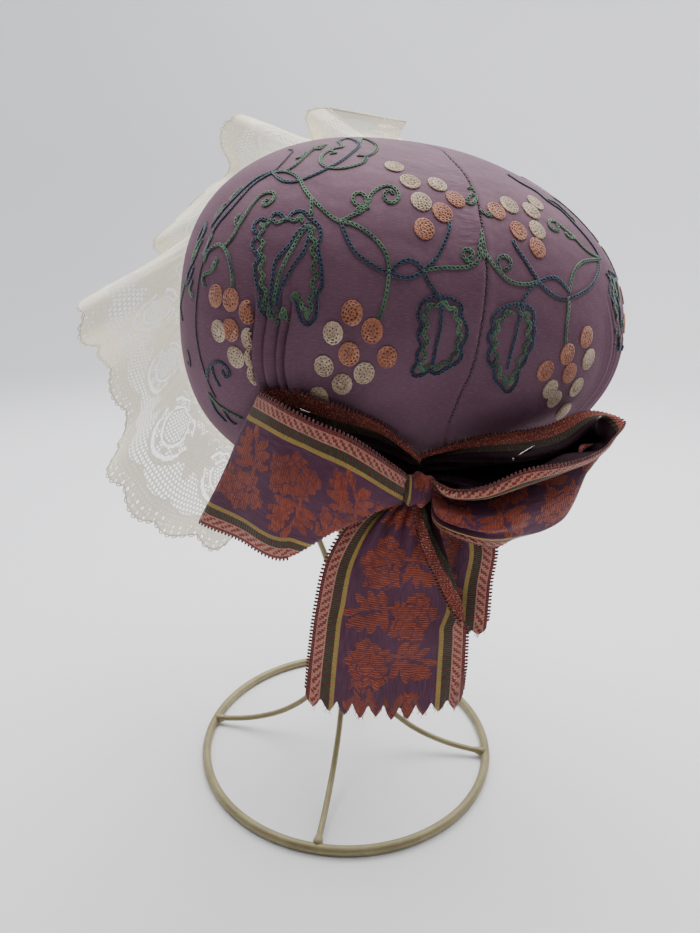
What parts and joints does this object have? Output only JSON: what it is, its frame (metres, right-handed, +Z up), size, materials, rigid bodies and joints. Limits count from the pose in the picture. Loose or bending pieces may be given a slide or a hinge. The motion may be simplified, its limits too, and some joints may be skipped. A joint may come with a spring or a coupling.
{
  "type": "embroidered folk frame cap with lace frill and ribbon bow, on a wire hat stand",
  "caption": "Stiff rounded silk cap with embroidered vines, a lace frill along its face edge and a ribbon bow at the nape, resting on an open wire hat stand.",
  "frame": {"origin": "middle of the whole part's footprint, on the floor under the stand's base ring", "axes": "+Z up along the height, the longest side; the back of the cap with its bow faces -Y, the face opening +Y, and +X is to the right seen from the back"},
  "size_m": [0.2674, 0.2062, 0.3729],
  "materials": {
    "silk": "mauve silk with wool chain-stitch embroidery",
    "lace": "off-white bobbin lace",
    "brocade": "woven ribbon with striped borders and floral sprays",
    "painted_wire": "dull gold paint"
  },
  "bodies": {
    "root": {"crown": "silk", "lace_frill": "lace", "bow_loop_left": "brocade", "bow_loop_right": "brocade", "bow_knot": "brocade", "bow_tail_front": "brocade", "bow_tail_back": "brocade", "wire_stand": "painted_wire"}
  },
  "joints": []
}
